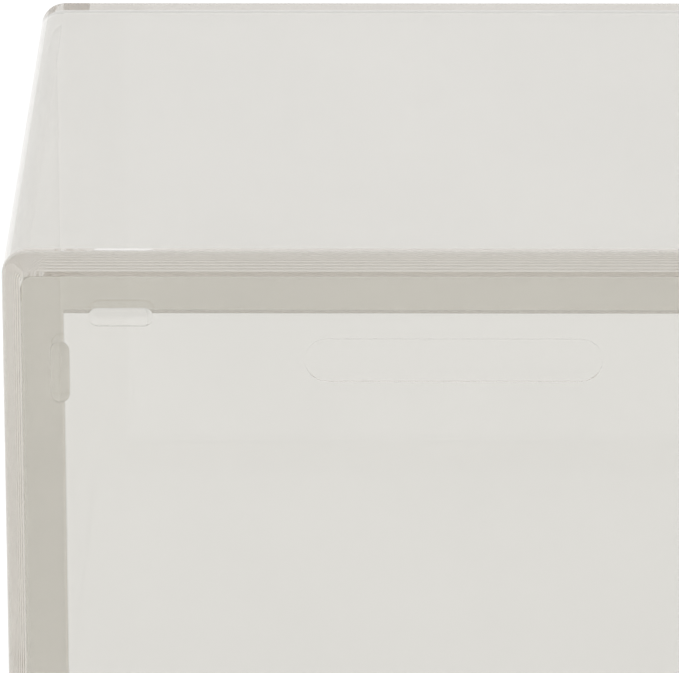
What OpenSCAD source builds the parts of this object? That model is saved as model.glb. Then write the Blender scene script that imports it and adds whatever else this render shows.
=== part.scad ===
// Clear two-part carry case for tabletop miniatures: a five-sided body and a lift-off front cover.
// The case stands on z = 0, centred on x = 0 and y = 0. Its front faces -Y.

/* [Case] */
// Width of the case, side to side
case_w = 100; // [80:1:160]
// Depth of the case, from the tops of the beads on the cover to the back
case_d = 100.5; // [70:0.5:160]
// Height of the case
case_h = 100; // [80:1:200]
// Thickness of the side walls and of the back
wall = 2; // [1.6:0.1:3]
// Thickness of the top and of the bottom
top_wall = 3; // [1.6:0.1:4]
// Radius of the four long edges that run from front to back
corner_r = 3; // [2.4:0.1:5]
// Rounding around the back face and around the front face
edge_r = 2; // [0.6:0.1:2]

/* [Front cover] */
// Thickness of the front cover
cover_t = 2.2; // [2.1:0.1:3]
// Air gap between the back of the cover and the mouth of the body
seam_gap = 0.05; // [0.02:0.01:0.2]

/* [Front frame] */
// How far the frame on the back of the cover reaches into the mouth
frame_t = 1.9; // [1.2:0.1:6]
// Running gap between the frame and the walls of the body
fit_gap = 0.05; // [0.03:0.01:0.1]
// How much more the outer corners of the frame are rounded than those of the mouth
frame_corner_ease = 0.5; // [0:0.1:1.5]
// Rounding that leads the frame into the mouth
frame_lead = 0.3; // [0.1:0.1:0.4]
// Distance from the side of the case to the opening of the frame
side_margin = 6.8; // [5:0.1:12]
// Distance from the top or the bottom of the case to the opening of the frame
top_margin = 7.3; // [6:0.1:12]

/* [Beads] */
// Length of a raised bead on the front of the cover
bead_l = 7.2; // [5:0.1:9]
// Width of a bead
bead_w = 2.15; // [1.5:0.05:2.6]
// Height of a bead
bead_h = 0.5; // [0.2:0.05:1]
// Distance from the corner of the opening to the middle of the nearest bead
bead_from_corner = 6.4; // [5:0.1:10]
// How far the middle of a bead along a side lies outside the edge of the opening
side_bead_out = 0.4; // [0:0.05:0.6]
// How far the middle of a bead along the top or the bottom lies outside that edge
top_bead_out = 0.05; // [0:0.05:0.6]

/* [Label field] */
// Width of the blank label field sunk into the front cover
label_w = 33; // [20:1:36]
// Height of the blank label field
label_h = 5; // [3:0.5:8]
// Depth of the blank label field
label_deep = 0.25; // [0.1:0.05:0.6]
// Distance from the top of the case to the middle of the label field
label_down = 12.3; // [11.5:0.1:20]

/* [Hidden] */
facets = 32;
round_steps = 6;
front_y = bead_h - case_d / 2;
cover_back_y = front_y + cover_t;
mouth_y = cover_back_y + seam_gap;
back_y = case_d / 2;
mid_z = case_h / 2;
cavity_r = max(0.4, corner_r - wall);
cavity_edge_r = 0.8 * cavity_r;
frame_corner_r = cavity_r + frame_corner_ease;
frame_w = case_w - 2 * (wall + fit_gap);
frame_h = case_h - 2 * (top_wall + fit_gap);
open_w = case_w - 2 * side_margin;
open_h = case_h - 2 * top_margin;
bead_root = 0.3;
past = 1;

function arc(x, y, r, from, to) =
    [for (i = [0 : round_steps])
        let (a = from + (to - from) * i / round_steps)
        [x + r * cos(a), y + r * sin(a)]];

// Half outline of a round post: its front end is at 0 and its back end is at d
function post_outline(r, d, front_round, back_round) = concat(
    [[0, 0]],
    front_round > 0 ? arc(r - front_round, front_round, front_round, -90, 0) : [[r, 0]],
    back_round > 0 ? arc(r - back_round, d - back_round, back_round, 0, 90) : [[r, d]],
    [[0, d]]);

// Rounded outline of a bead from its right foot to the angle to, over its crown at 90
function bead_arc(to) =
    [for (a = [0 : 90 / round_steps : to])
        [bead_w / 2 * cos(a), bead_h * sin(a)]];

// Block w wide and h high with round long edges, from y = 0 to y = d
module block(w, h, d, r, front_round = 0, back_round = 0) {
    hull()
        for (x = [r - w / 2, w / 2 - r], z = [r - h / 2, h / 2 - r])
            translate([x, 0, z])
                rotate([-90, 0, 0])
                    rotate_extrude($fn = facets)
                        polygon(post_outline(r, d, front_round, back_round));
}

// Stadium shape l long and w wide that runs along x, sunk along +Y by d
module stadium(l, w, d) {
    rotate([-90, 0, 0]) {
        for (side = [-1, 1])
            translate([side * (l - w) / 2, 0, 0])
                cylinder(d = w, h = d, $fn = facets);
        translate([(w - l) / 2, -w / 2, 0])
            cube([l - w, w, d]);
    }
}

// Raised bead that runs along x on the face y = 0, with its crown towards -Y
module bead() {
    straight = bead_l - bead_w;
    rotate([90, 0, 0]) {
        for (side = [-1, 1])
            translate([side * straight / 2, 0, 0])
                rotate_extrude($fn = facets)
                    polygon(concat([[0, -bead_root], [bead_w / 2, -bead_root]], bead_arc(90)));
        translate([-straight / 2, 0, 0])
            rotate([90, 0, 90])
                linear_extrude(straight)
                    polygon(concat([[bead_w / 2, -bead_root]], bead_arc(180), [[-bead_w / 2, -bead_root]]));
    }
}

// Places its children in the four corners of the front face, along from the middle and across
// from the middle. turns picks the two opposite edges that they run along.
module in_corners(along, across, turns) {
    for (side = [-1, 1], turn = turns)
        translate([0, front_y, mid_z])
            rotate([0, turn, 0])
                translate([side * along, 0, across])
                    children();
}

module case_body() {
    color("gainsboro", 0.5)
        difference() {
            translate([0, mouth_y, mid_z])
                block(case_w, case_h, back_y - mouth_y, corner_r, 0, edge_r);
            translate([0, mouth_y - past, mid_z])
                block(case_w - 2 * wall, case_h - 2 * top_wall, back_y - mouth_y - wall + past,
                    cavity_r, 0, cavity_edge_r);
        }
}

module front_frame() {
    color("tan", 0.5)
        difference() {
            translate([0, cover_back_y, mid_z])
                block(frame_w, frame_h, frame_t, frame_corner_r, 0, frame_lead);
            translate([-open_w / 2, cover_back_y - past, mid_z - open_h / 2])
                cube([open_w, frame_t + 2 * past, open_h]);
        }
}

module front_cover() {
    color("lightgrey", 0.5) {
        difference() {
            translate([0, front_y, mid_z])
                block(case_w, case_h, cover_t, corner_r, edge_r, 0);
            translate([0, front_y - past, case_h - label_down])
                stadium(label_w, label_h, label_deep + past);
        }
        in_corners(open_w / 2 - bead_from_corner, open_h / 2 + top_bead_out, [0, 180])
            bead();
        in_corners(open_h / 2 - bead_from_corner, open_w / 2 + side_bead_out, [90, -90])
            bead();
    }
}

case_body();
front_frame();
front_cover();
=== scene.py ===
import math

import bmesh
import bpy
from mathutils import Matrix, Vector


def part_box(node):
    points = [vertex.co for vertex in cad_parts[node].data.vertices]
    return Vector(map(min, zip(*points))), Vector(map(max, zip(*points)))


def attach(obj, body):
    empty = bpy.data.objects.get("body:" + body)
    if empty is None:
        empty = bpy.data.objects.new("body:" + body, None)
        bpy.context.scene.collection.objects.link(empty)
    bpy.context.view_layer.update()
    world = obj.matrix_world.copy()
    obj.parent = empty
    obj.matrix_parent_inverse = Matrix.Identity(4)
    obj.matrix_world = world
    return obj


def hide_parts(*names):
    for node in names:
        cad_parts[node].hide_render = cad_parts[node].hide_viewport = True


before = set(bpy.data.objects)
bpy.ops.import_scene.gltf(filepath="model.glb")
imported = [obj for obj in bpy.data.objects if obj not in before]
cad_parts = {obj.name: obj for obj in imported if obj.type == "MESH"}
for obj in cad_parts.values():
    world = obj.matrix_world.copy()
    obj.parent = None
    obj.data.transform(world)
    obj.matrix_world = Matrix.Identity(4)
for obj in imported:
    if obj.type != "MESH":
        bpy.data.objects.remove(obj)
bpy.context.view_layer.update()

MM = 0.001

# Shape of the case that the frame's boxes don't give
CORNER_R = 3.0 * MM
EDGE_R = 2.0 * MM
CAVITY_R = 1.0 * MM
CAVITY_EDGE_R = 0.8 * MM
WALL = 2.0 * MM
TOP_WALL = 3.0 * MM

# Frame on the back of the cover. The bond gap keeps its face off the back of the cover.
OPENING_SIDE = 6.8 * MM
OPENING_TOP = 7.3 * MM
FRAME_CORNER_R = 1.5 * MM
FRAME_LEAD = 0.3 * MM
BOND_GAP = 0.02 * MM
OPENING_CORNER_R = 0.1 * MM

# Raised beads, measured from the edge of the frame's opening
BEAD_L = 7.2 * MM
BEAD_W = 2.15 * MM
BEAD_H = 0.5 * MM
BEAD_ROOT = 0.3 * MM
BEAD_FROM_CORNER = 6.4 * MM
SIDE_BEAD_OUT = 0.4 * MM
TOP_BEAD_OUT = 0.05 * MM

# Blank label field
LABEL_W = 33.0 * MM
LABEL_H = 5.0 * MM
LABEL_DEEP = 0.25 * MM
LABEL_DOWN = 12.3 * MM
LABEL_TOOL_PAST = 1.0 * MM

body_lo, body_hi = (Vector(v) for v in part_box("case_body"))
rim_lo, rim_hi = (Vector(v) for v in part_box("front_frame"))
cover_lo, cover_hi = (Vector(v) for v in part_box("front_cover"))

CASE_W = body_hi.x - body_lo.x
CASE_H = body_hi.z - body_lo.z
MID_Z = (body_lo.z + body_hi.z) / 2
FRONT_Y = cover_lo.y + BEAD_H
COVER_BACK_Y = cover_hi.y
MOUTH_Y = body_lo.y
BACK_Y = body_hi.y
OPEN_W = CASE_W - 2 * OPENING_SIDE
OPEN_H = CASE_H - 2 * OPENING_TOP

# Fineness of the meshes: steps round a corner, over an edge, round a stadium's end, and up
# the side of a bead
CORNER_STEPS = 20
EDGE_STEPS = 24
STADIUM_STEPS = 12
BEAD_STEPS = 6

# A bead rises to this angle of its dome and is flat above it
BEAD_TOP_ANGLE = 85

# Shading: edges sharper than this stay sharp, and larger faces count for more in the normals
SHARP_ANGLE = math.radians(35)
NORMAL_WEIGHT = 100

# Plastic: what the two faces of a plate pass together, what its inside absorbs, and how its
# tint, polish and flatness vary
BODY_COLOR = (0.80, 0.79, 0.765)
COVER_COLOR = (0.83, 0.825, 0.805)
FRAME_COLOR = (0.72, 0.70, 0.65)
DENSITY = 5.0
ABSORB_TINT = (0.76, 0.71, 0.64)
PLASTIC_IOR = 1.5
FLOW_CHANGE = 0.01
FLOW_SCALE = 35
FLOW_DETAIL = 2
FLOW_RANGE = (0.3, 0.7)
ROUGH_LOW = 0.0
ROUGH_HIGH = 0.01
SCUFF_SCALE = 260
SCUFF_DETAIL = 5
SCUFF_RANGE = (0.45, 0.75)
WAVE_HEIGHT = 0.0005 * MM
WAVE_SCALE = 60
WAVE_DETAIL = 1

# Floor and light
FLOOR_SIZE = 8
FLOOR_GAP = 0.2 * MM
FLOOR_BASE = 0.10
FLOOR_GLOW = 0.94
FLOOR_ROUGH = 0.6
LIGHT_BOUNCES = 256
SKY = 0.9


# ---------------------------------------------------------------- camera

CAMERA_PITCH = 19.3
CAMERA_YAW = -0.15
CAMERA_DISTANCE = 0.7166
CAMERA_LENS = 343.8
CAMERA_SENSOR = 36.0
CAMERA_CLIP = (0.01, 20.0)
CAMERA_AIM = Vector((-0.01265, FRONT_Y, 0.0905))


def make_camera():
    data = bpy.data.cameras.new("camera")
    data.sensor_width = CAMERA_SENSOR
    data.lens = CAMERA_LENS
    data.clip_start = CAMERA_CLIP[0]
    data.clip_end = CAMERA_CLIP[1]
    camera = bpy.data.objects.new("camera", data)
    bpy.context.scene.collection.objects.link(camera)
    pitch, yaw = math.radians(CAMERA_PITCH), math.radians(CAMERA_YAW)
    ahead = Vector(
        (math.sin(yaw) * math.cos(pitch), math.cos(yaw) * math.cos(pitch), -math.sin(pitch))
    )
    camera.location = CAMERA_AIM - ahead * CAMERA_DISTANCE
    camera.rotation_euler = (math.pi / 2 - pitch, 0, -yaw)
    bpy.context.scene.camera = camera


# ---------------------------------------------------------------- mesh helpers


def ring(w, h, r, y):
    """Rounded rectangle w by h round the middle of the case, at y, with the corner radius r."""
    points = []
    for quarter, (sx, sz) in enumerate(((1, 1), (-1, 1), (-1, -1), (1, -1))):
        for i in range(CORNER_STEPS + 1):
            a = math.radians(90 * (quarter + i / CORNER_STEPS))
            x = sx * (w / 2 - r) + r * math.cos(a)
            z = MID_Z + sz * (h / 2 - r) + r * math.sin(a)
            points.append(Vector((x, y, z)))
    return points


def join_rows(bm, rows):
    """Faces between neighbouring closed rows of vertices."""
    for a, b in zip(rows, rows[1:]):
        for i in range(len(a)):
            j = (i + 1) % len(a)
            bm.faces.new((a[i], a[j], b[j], b[i]))


def make_rows(bm, rings):
    return [[bm.verts.new(p) for p in points] for points in rings]


def to_object(bm, name):
    bmesh.ops.recalc_face_normals(bm, faces=bm.faces)
    mesh = bpy.data.meshes.new(name)
    bm.to_mesh(mesh)
    bm.free()
    piece = bpy.data.objects.new(name, mesh)
    bpy.context.scene.collection.objects.link(piece)
    return piece


def loft(name, rings):
    """Closed solid through rings of equal length, capped at both ends."""
    bm = bmesh.new()
    rows = make_rows(bm, rings)
    join_rows(bm, rows)
    bm.faces.new(rows[0])
    bm.faces.new(rows[-1])
    return to_object(bm, name)


def loop_loft(name, rings):
    """Closed solid through rings of equal length, the last one joined to the first."""
    bm = bmesh.new()
    rows = make_rows(bm, rings)
    join_rows(bm, rows + rows[:1])
    return to_object(bm, name)


def stadium(length, radius, y):
    """Stadium outline along X round the origin, at y."""
    points = []
    for side, start in ((1, -90), (-1, 90)):
        for i in range(STADIUM_STEPS + 1):
            a = math.radians(start + 180 * i / STADIUM_STEPS)
            points.append(Vector((side * length / 2 + radius * math.cos(a), y, radius * math.sin(a))))
    return points


def cut_or_join(piece, tool, operation):
    modifier = piece.modifiers.new("boolean", "BOOLEAN")
    modifier.object = tool
    modifier.operation = operation
    modifier.solver = "EXACT"
    depsgraph = bpy.context.evaluated_depsgraph_get()
    mesh = bpy.data.meshes.new_from_object(piece.evaluated_get(depsgraph))
    piece.modifiers.remove(modifier)
    piece.data = mesh
    bpy.data.objects.remove(tool)


def finish_piece(piece, body, node, material):
    mesh = piece.data
    for polygon in mesh.polygons:
        polygon.use_smooth = True
    mesh.set_sharp_from_angle(angle=SHARP_ANGLE)
    weighted = piece.modifiers.new("weighted normals", "WEIGHTED_NORMAL")
    weighted.mode = "FACE_AREA"
    weighted.weight = NORMAL_WEIGHT
    weighted.keep_sharp = True
    mesh.materials.append(material)
    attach(piece, body)
    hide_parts(node)


# ---------------------------------------------------------------- materials


def clear_plastic(name, color):
    """Clear moulded plastic that tints light by color, with faint flow marks and fine scuffs."""
    material = bpy.data.materials.new(name)
    material.use_nodes = True
    nodes, links = material.node_tree.nodes, material.node_tree.links
    shader = nodes["Principled BSDF"]
    shader.inputs["Transmission Weight"].default_value = 1.0
    shader.inputs["IOR"].default_value = PLASTIC_IOR
    place = nodes.new("ShaderNodeTexCoord").outputs["Object"]

    # Slow change of the tint where the plastic flowed
    flow = nodes.new("ShaderNodeTexNoise")
    flow.inputs["Scale"].default_value = FLOW_SCALE
    flow.inputs["Detail"].default_value = FLOW_DETAIL
    links.new(place, flow.inputs["Vector"])
    tint = nodes.new("ShaderNodeValToRGB")
    tint.color_ramp.elements[0].position = FLOW_RANGE[0]
    tint.color_ramp.elements[0].color = (*(c * (1 - FLOW_CHANGE) for c in color), 1)
    tint.color_ramp.elements[1].position = FLOW_RANGE[1]
    tint.color_ramp.elements[1].color = (*(min(1, c * (1 + FLOW_CHANGE)) for c in color), 1)
    links.new(flow.outputs["Fac"], tint.inputs["Fac"])
    links.new(tint.outputs["Color"], shader.inputs["Base Color"])

    # Patches of fine scuffing on the polish
    scuff = nodes.new("ShaderNodeTexNoise")
    scuff.inputs["Scale"].default_value = SCUFF_SCALE
    scuff.inputs["Detail"].default_value = SCUFF_DETAIL
    links.new(place, scuff.inputs["Vector"])
    polish = nodes.new("ShaderNodeMapRange")
    polish.inputs["From Min"].default_value = SCUFF_RANGE[0]
    polish.inputs["From Max"].default_value = SCUFF_RANGE[1]
    polish.inputs["To Min"].default_value = ROUGH_LOW
    polish.inputs["To Max"].default_value = ROUGH_HIGH
    links.new(scuff.outputs["Fac"], polish.inputs["Value"])
    links.new(polish.outputs["Result"], shader.inputs["Roughness"])

    # Very slight waviness of the moulded faces
    wave = nodes.new("ShaderNodeTexNoise")
    wave.inputs["Scale"].default_value = WAVE_SCALE
    wave.inputs["Detail"].default_value = WAVE_DETAIL
    links.new(place, wave.inputs["Vector"])
    bump = nodes.new("ShaderNodeBump")
    bump.inputs["Strength"].default_value = 1.0
    bump.inputs["Distance"].default_value = WAVE_HEIGHT
    links.new(wave.outputs["Fac"], bump.inputs["Height"])
    links.new(bump.outputs["Normal"], shader.inputs["Normal"])

    absorb = nodes.new("ShaderNodeVolumeAbsorption")
    absorb.inputs["Color"].default_value = (*ABSORB_TINT, 1)
    absorb.inputs["Density"].default_value = DENSITY
    links.new(absorb.outputs[0], nodes["Material Output"].inputs["Volume"])
    return material


# ---------------------------------------------------------------- pieces


def rounded_end(w, h, r, edge_r, y, facing):
    """Rings of a block's end at y, rounded by edge_r, from its side to its end face.

    facing is 1 for an end that faces +Y and -1 for one that faces -Y.
    """
    rings = []
    for i in range(EDGE_STEPS + 1):
        a = math.radians(90 * i / EDGE_STEPS)
        inset = edge_r * (1 - math.cos(a))
        away = edge_r * (1 - math.sin(a))
        rings.append(ring(w - 2 * inset, h - 2 * inset, r - inset, y - facing * away))
    return rings


def make_body(material):
    outer = [ring(CASE_W, CASE_H, CORNER_R, MOUTH_Y)]
    outer += rounded_end(CASE_W, CASE_H, CORNER_R, EDGE_R, BACK_Y, 1)
    w, h = CASE_W - 2 * WALL, CASE_H - 2 * TOP_WALL
    inner = rounded_end(w, h, CAVITY_R, CAVITY_EDGE_R, BACK_Y - WALL, 1)
    inner.reverse()
    inner.append(ring(w, h, CAVITY_R, MOUTH_Y))
    bm = bmesh.new()
    outer_rows = make_rows(bm, outer)
    inner_rows = make_rows(bm, inner)
    join_rows(bm, inner_rows + outer_rows)
    bm.faces.new(outer_rows[-1])
    bm.faces.new(inner_rows[0])
    piece = to_object(bm, "body_shell")
    finish_piece(piece, "case", "case_body", material)


def make_frame(material):
    w, h = rim_hi.x - rim_lo.x, rim_hi.z - rim_lo.z
    y0, y1 = COVER_BACK_Y + BOND_GAP, rim_hi.y
    rings = [ring(w, h, FRAME_CORNER_R, y0)]
    rings += rounded_end(w, h, FRAME_CORNER_R, FRAME_LEAD, y1, 1)
    rings.append(ring(OPEN_W, OPEN_H, OPENING_CORNER_R, y1))
    rings.append(ring(OPEN_W, OPEN_H, OPENING_CORNER_R, y0))
    piece = loop_loft("locating_frame", rings)
    finish_piece(piece, "cover", "front_frame", material)


def make_bead():
    """Bead along X on the front face, round over its crown, with its foot inside the plate."""
    straight = BEAD_L - BEAD_W
    rings = [stadium(straight, BEAD_W / 2, FRONT_Y + BEAD_ROOT)]
    for i in range(BEAD_STEPS + 1):
        a = math.radians(BEAD_TOP_ANGLE * i / BEAD_STEPS)
        rings.append(stadium(straight, BEAD_W / 2 * math.cos(a), FRONT_Y - BEAD_H * math.sin(a)))
    return loft("bead", rings)


def bead_places():
    """A matrix for each bead, two to a corner: along an edge of the opening and a little outside it."""
    places = []
    for along, across, out, turns in (
        (OPEN_W / 2, OPEN_H / 2, TOP_BEAD_OUT, (0, 180)),
        (OPEN_H / 2, OPEN_W / 2, SIDE_BEAD_OUT, (90, -90)),
    ):
        for turn in turns:
            for side in (-1, 1):
                move = Matrix.Translation((side * (along - BEAD_FROM_CORNER), 0, across + out))
                turned = Matrix.Rotation(math.radians(turn), 4, "Y") @ move
                places.append(Matrix.Translation((0, 0, MID_Z)) @ turned)
    return places


def make_cover(material):
    rings = rounded_end(CASE_W, CASE_H, CORNER_R, EDGE_R, FRONT_Y, -1)
    rings.reverse()
    rings.append(ring(CASE_W, CASE_H, CORNER_R, COVER_BACK_Y))
    piece = loft("cover_panel", rings)
    for place in bead_places():
        bead = make_bead()
        bead.data.transform(place)
        cut_or_join(piece, bead, "UNION")
    straight = LABEL_W - LABEL_H
    front, floor = FRONT_Y - LABEL_TOOL_PAST, FRONT_Y + LABEL_DEEP
    label = loft("label", [stadium(straight, LABEL_H / 2, y) for y in (front, floor)])
    label.data.transform(Matrix.Translation((0, 0, body_hi.z - LABEL_DOWN)))
    cut_or_join(piece, label, "DIFFERENCE")
    finish_piece(piece, "cover", "front_cover", material)


# ---------------------------------------------------------------- stage and light


def make_stage():
    world = bpy.data.worlds.new("studio")
    world.use_nodes = True
    world.node_tree.nodes["Background"].inputs["Color"].default_value = (1, 1, 1, 1)
    world.node_tree.nodes["Background"].inputs["Strength"].default_value = SKY
    bpy.context.scene.world = world
    bpy.context.scene.view_settings.view_transform = "Standard"
    cycles = bpy.context.scene.cycles
    cycles.max_bounces = LIGHT_BOUNCES
    cycles.transmission_bounces = LIGHT_BOUNCES
    cycles.glossy_bounces = LIGHT_BOUNCES
    bpy.ops.mesh.primitive_plane_add(size=FLOOR_SIZE, location=(0, 0, body_lo.z - FLOOR_GAP))
    floor = bpy.context.object
    floor.name = "floor"
    material = bpy.data.materials.new("floor")
    material.use_nodes = True
    shader = material.node_tree.nodes["Principled BSDF"]
    shader.inputs["Base Color"].default_value = (FLOOR_BASE, FLOOR_BASE, FLOOR_BASE, 1)
    shader.inputs["Roughness"].default_value = FLOOR_ROUGH
    shader.inputs["Emission Color"].default_value = (1, 1, 1, 1)
    shader.inputs["Emission Strength"].default_value = FLOOR_GLOW
    floor.data.materials.append(material)


make_camera()
make_body(clear_plastic("clear body", BODY_COLOR))
make_frame(clear_plastic("clear frame", FRAME_COLOR))
make_cover(clear_plastic("clear cover", COVER_COLOR))
make_stage()
